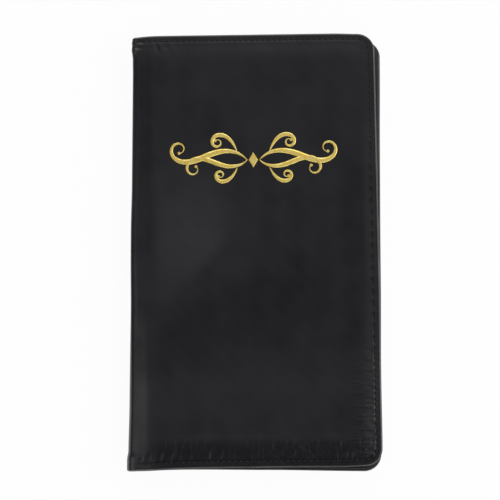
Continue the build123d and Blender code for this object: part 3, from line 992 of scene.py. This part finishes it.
for side in (back, front):
    lining_piece(side)

# Pockets sewn in with the cover's edges: the tall cash pocket of the back cover and the receipt pocket
# of the front cover. Each is thin faux leather over the lining, open along its hemmed top edge.
pocket_sheet = 0.4
pocket_gap = 0.02
pocket_left = 9.0
pocket_radius = 0.8
inner_face = sheet_depth + pocket_sheet
hem_height = 5.0
hem_seam = 3.8
tall_pocket_top = corners_of("tall_pocket")[1][1]
receipt_pocket_top = 30.0


def hem_relief(below_top):
    """Folded hem along a pocket's top edge: a slight ridge that ends in a seam."""
    return 0.10 * smooth((hem_height + 0.4 - below_top) / 0.8) - 0.10 * bell(below_top - hem_seam, 0.45)


def edge_pocket(name, node, side, top):
    """Pocket over the lower part of a lining, with the cover's two round corners at its tail end. It
    returns the depth of the pocket's face, as a function of (u, v)."""

    def surface(u, v):
        over_board = smooth((inset_from_board(side, u, v) + 1.6) / 2.0)
        ripple = 0.03 * waves(u, v, side.seed + 40, 7, 18, 70)
        face = inner_face - 0.25 * (1 - over_board) + ripple
        return face + hem_relief(top - v) - seam_pull(side, u, v, 0.22)

    def place(s, y, depth, share):
        return on_cover(side, s, y, depth + share * (surface(s - flat_offset, y) - inner_face))

    grid = sewn_grid(side, pocket_left, -half_height + lining_edge, top)
    profile = sewn_profile(inner_face, rim_depth + pocket_gap, sheet_depth + 0.03)
    radii = (pocket_radius, sewn_band, pocket_radius, pocket_radius)
    shape = (grid, sewn_band, radii, profile, place, pocket_leather, "pocket_leather")
    laid_sheet(name, node, side, *shape, held="laid", rests_on=[f"{side.body}_cover_lining"])
    hem = straight_run((pocket_left + 1.5, top - hem_seam), (side.width - 5.0, top - hem_seam))
    stitches(f"{name}_hem", side, [hem], surface)
    return surface


def inner_seam(side, surface, top):
    """Perimeter seam on the inside of a cover: on the pocket up to its top, then on the lining."""

    def depth(u, v):
        return np.where((v < top) & (u > pocket_left), surface(u, v), lining_depth(side, u, v))

    stitches(f"{side.body}_inner_seam", side, perimeter_runs(side, first_u=8.0), depth)


tall_surface = edge_pocket("cash_pocket", "tall_pocket", back, tall_pocket_top)
receipt_surface = edge_pocket("check_pocket", "receipt_pocket", front, receipt_pocket_top)
inner_seam(back, tall_surface, tall_pocket_top)
inner_seam(front, receipt_surface, receipt_pocket_top)

# Flat pockets sewn on an edge pocket along three sides: the order pad pocket with its thumb notch, and
# three card slots whose tops step down like stairs. Each is thin faux leather with a hemmed top.
flat_band = 1.2
flat_radius = 0.7
seam_inset = 1.9
seam_end = 1.0
hem_inset = 3.2
order_low, order_high = corners_of("order_pad_pocket")
notch_radius = 12.0
notch_fade = 40.0


def flat_pocket(name, node, side, left, right, bottom, top, depth, under, notch=0.0):
    """Flat pocket from left to right and bottom to top at a depth, on the piece named under; a notch bends
    its rows down round a half circle in its top edge."""
    middle = (left + right) / 2

    def notch_drop(u):
        return np.sqrt(np.maximum(notch**2 - (u - middle) ** 2, 0))

    def surface(u, v):
        inset = np.minimum(np.minimum(u - left, right - u), v - bottom)
        bow = 0.10 * smooth(inset / 14) + 0.02 * waves(u, v, side.seed + int(top) + 60, 6, 16, 60)
        return depth + bow + hem_relief(top - notch_drop(u) - v) - 0.16 * bell(inset - seam_inset, 0.7)

    def place(s, y, row_depth, share):
        u = s - flat_offset
        dropped = y - notch_drop(u) * smooth((y - top + notch_fade) / notch_fade)
        return on_cover(side, s, dropped, row_depth + share * (surface(u, dropped) - depth))

    first, last = left + flat_band, right - flat_band
    columns = even_lines(first, last, inner_step)
    if notch:
        curve = middle + notch * np.sin(np.linspace(-np.pi / 2, np.pi / 2, 41))
        beside = even_lines(first, curve[0], inner_step), even_lines(curve[-1], last, inner_step)
        columns = np.concatenate([beside[0], curve[1:-1], beside[1]])
    grid = columns + flat_offset, even_lines(bottom + flat_band, top - flat_band, inner_step)
    profile = sheet_profile(flat_band, depth, depth - pocket_sheet + pocket_gap, step=0.4)
    shape = (grid, flat_band, (flat_radius,) * 4, profile, place, pocket_leather, "pocket_leather")
    laid_sheet(name, node, side, *shape, held="laid", rests_on=[under])
    seam_left, seam_right, seam_low = left + seam_inset, right - seam_inset, bottom + seam_inset
    runs = [
        straight_run((seam_left, seam_low), (seam_left, top - seam_end)),
        straight_run((seam_right, seam_low), (seam_right, top - seam_end)),
        straight_run((seam_left, seam_low), (seam_right, seam_low)),
    ]
    hem_v = top - hem_seam
    hem_ends = (left + hem_inset, hem_v), (right - hem_inset, hem_v)
    if notch:
        arc_radius = notch + hem_seam
        reach = np.sqrt(arc_radius**2 - hem_seam**2)
        low = np.arctan2(hem_seam, reach)
        count = int(arc_radius * (np.pi - 2 * low) / stitch_pitch)
        turn = low + (np.pi - 2 * low) * (np.arange(count) + 0.5) / count
        runs.append((middle - arc_radius * np.cos(turn), top - arc_radius * np.sin(turn), np.pi / 2 - turn))
        runs.append(straight_run(hem_ends[0], (middle - reach, hem_v)))
        runs.append(straight_run((middle + reach, hem_v), hem_ends[1]))
    else:
        runs.append(straight_run(*hem_ends))
    stitches(f"{name}_seams", side, runs, surface)


order_sides = (order_low[0] - crease_x, order_high[0] - crease_x, order_low[1], order_high[1])
order_lie = (inner_face + pocket_sheet, "cash_pocket", notch_radius)
flat_pocket("order_pocket", "order_pad_pocket", back, *order_sides, *order_lie)

slot_half = 49.0
slot_left, slot_right = front.width / 2 - slot_half, front.width / 2 + slot_half
slot_bottom = -44.0
slot_top = 14.0
slot_step = 16.0
under = "check_pocket"
for k in range(3):
    slot_sides = (slot_left, slot_right, slot_bottom, slot_top - k * slot_step)
    slot_name = f"card_pocket_{k + 1}"
    slot_depth = inner_face + (k + 1) * pocket_sheet
    flat_pocket(slot_name, f"card_slot_{k + 1}", front, *slot_sides, slot_depth, under)
    under = slot_name

# Clear window: a sheet of clear vinyl held by a sewn leather binding, for a card that shows the
# table's details. The vinyl is a little wavy.
window_low, window_high = 40.0, 104.0
window_half = 48.0
window_left, window_right = front.width / 2 - window_half, front.width / 2 + window_half
window_middle = front.width / 2 + flat_offset
window_border = 6.0
window_radius = 2.0
window_film = 0.3
film_gap = 0.14
film_band = 1.0
film_inset = 1.0
film_radius = 0.8

# Mostly see-through, with the shine of the vinyl's two faces and a slow ripple
clear_vinyl, tree, shader = new_material("clear_vinyl")
film_look = {"Vector": read_attribute(tree, "flat_place"), "Scale": 45.0, "Detail": 2.0}
film_ripple = add_node(tree, "TexNoise", film_look)
haze = add_node(tree, "MapRange", {"Value": film_ripple, "To Min": 0.09, "To Max": 0.16})
film_bump = add_node(tree, "Bump", {"Height": film_ripple, "Strength": 0.5, "Distance": 0.3 * mm})
feed(shader, {"Base Color": (0.03, 0.03, 0.032, 1), "Roughness": haze, "Normal": film_bump, "Alpha": 0.3})
feed(shader, {"Specular IOR Level": 1.0, "Coat Weight": 1.0, "Coat Roughness": 0.1, "Coat IOR": 1.8})


def film_place(s, y, depth, share):
    """Places the vinyl, which is slightly wavy, inside its binding."""
    return on_cover(front, s, y, depth + 0.03 * waves(s, y, 71, 5, 20, 60))


film_reach = window_half - film_band - film_inset
film_s = even_lines(window_middle - film_reach, window_middle + film_reach, 2.0)
film_y = even_lines(window_low + film_band + film_inset, window_high - film_band - film_inset, 2.0)
film_face = sheet_depth + film_gap + window_film
film_profile = sheet_profile(film_band, film_face, sheet_depth + film_gap, step=0.4)
film_shape = ((film_s, film_y), film_band, (film_radius,) * 4, film_profile, film_place, clear_vinyl)
film_lie = {"held": "laid", "rests_on": ["front_cover_lining"]}
laid_sheet("clear_window", "window_pocket", front, *film_shape, "clear_film", **film_lie)


def binding_depth(u, v):
    """Depth of the binding's face: rounded over its width and pulled in by its seam."""
    across = window_half - np.abs(u - front.width / 2)
    up = (window_high - window_low) / 2 - np.abs(v - (window_high + window_low) / 2)
    inset = np.minimum(across, up)
    crown = 0.12 * np.sin(np.pi * np.clip(inset / window_border, 0, 1))
    return film_face + pocket_sheet + crown - 0.18 * bell(inset - seam_inset, 0.6)


def binding_piece():
    """Binding round the window: a rim band carried once round, its face and back joined at both edges."""
    reach = window_half - window_border
    s_lines = even_lines(window_middle - reach, window_middle + reach, 0.8)
    y_lines = even_lines(window_low + window_border, window_high - window_border, 0.8)
    edge, way = rim(s_lines, y_lines, window_border, (window_radius,) * 4)
    half = pocket_sheet / 2
    turn = np.linspace(0, np.pi, 5)[1:-1]
    face = even_lines(half, window_border - half, 0.5)
    outer, inner = window_border - half + half * np.sin(turn), half - half * np.sin(turn)
    inset = np.concatenate([face, outer, [window_border - half, half], inner])
    share = [np.ones_like(face), 0.5 + 0.5 * np.cos(turn), [0, 0], 0.5 - 0.5 * np.cos(turn)]
    s = edge[:-1, 0] + inset[:, None] * way[:-1, 0]
    y = edge[:-1, 1] + inset[:, None] * way[:-1, 1]
    back_depth = sheet_depth + pocket_gap
    depth = back_depth + np.concatenate(share)[:, None] * (binding_depth(s - flat_offset, y) - back_depth)
    points = on_cover(front, s.ravel(), y.ravel(), depth.ravel())
    flat = np.stack([s, y, depth], -1).reshape(-1, 3)
    faces = grid_faces(*s.shape, closed=(True, True)).tolist()
    piece = finished_mesh("window_frame", points, flat, faces, pocket_leather)
    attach(piece, "front")
    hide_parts("window_binding")
    left, right = window_left + seam_inset, window_right - seam_inset
    low, high = window_low + seam_inset, window_high - seam_inset
    corners = [(left, low), (right, low), (right, high), (left, high)]
    runs = [straight_run(corners[k], corners[(k + 1) % 4]) for k in range(4)]
    stitches("window_seams", front, runs, binding_depth)


binding_piece()

# Pen loop: a band of black elastic webbing, folded to a loop and sewn on the back cover's hinge strip
# in the gutter. Fine ribs run round it.
loop_low, loop_high = corners_of("pen_loop")
loop_wall = 0.4
loop_round = 1.6
loop_edge = 0.2
rib_pitch = 1.25

# Knitted elastic: fine dark lines between ribs, dull
elastic_dark, elastic_light = (0.010, 0.010, 0.011, 1), (0.030, 0.030, 0.032, 1)
black_elastic, tree, shader = new_material("black_elastic")
knit_look = {"Vector": read_attribute(tree, "flat_place"), "Scale": 420.0, "Distortion": 1.5, "Detail": 2.0}
knit = add_node(tree, "TexWave", knit_look, bands_direction="X").outputs["Fac"]
elastic_finish = {"Roughness": 0.8, "Sheen Weight": 0.2}
coat(tree, shader, elastic_dark, elastic_light, knit, elastic_finish, depth=0.05)


def pen_loop_piece():
    """The loop's closed band: it follows a rounded rectangle, evenly by angle round its corners, is ribbed
    outside and inside, and is joined round its two edges."""
    middle = (loop_low + loop_high) / 2
    half = (loop_high - loop_low) / 2
    around = np.linspace(0, 2 * np.pi, 64, endpoint=False)
    way = np.stack([np.cos(around), np.sin(around)], -1)
    power = np.sign(way) * np.abs(way) ** 0.55
    curve = (half[[0, 2]] - loop_round) * np.clip(power * 1.25, -1, 1) + loop_round * way
    turn = np.linspace(0, np.pi, 5)[1:-1]
    reach = half[1] - loop_edge
    run = even_lines(-reach, reach, rib_pitch / 5)
    bulge = reach + loop_edge * np.sin(turn)
    along = np.concatenate([run, bulge, run[::-1], -bulge])
    ends = (1 - np.cos(turn)) / 2, (1 + np.cos(turn)) / 2
    inwards = np.concatenate([np.zeros_like(run), ends[0], np.ones_like(run), ends[1]])
    rib = 0.05 * (1 - np.cos(2 * np.pi * along / rib_pitch)) * np.cos(np.pi * inwards)
    offset = -loop_wall * inwards - 0.10 * (1 - inwards) + rib
    cross = curve + offset[:, None, None] * way
    x = middle[0] + cross[..., 0]
    z = middle[2] + cross[..., 1]
    y = middle[1] + np.broadcast_to(along[:, None], x.shape)
    run_round = np.broadcast_to(np.arange(len(curve)) * 0.3, x.shape)
    flat = np.stack([run_round, y, z * 0], -1).reshape(-1, 3)
    points = np.stack([x, y, z], -1).reshape(-1, 3)
    faces = grid_faces(*x.shape, closed=(True, True)).tolist()
    piece = finished_mesh("elastic_pen_loop", points, flat, faces, black_elastic)
    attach(piece, "back")
    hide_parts("pen_loop")


pen_loop_piece()
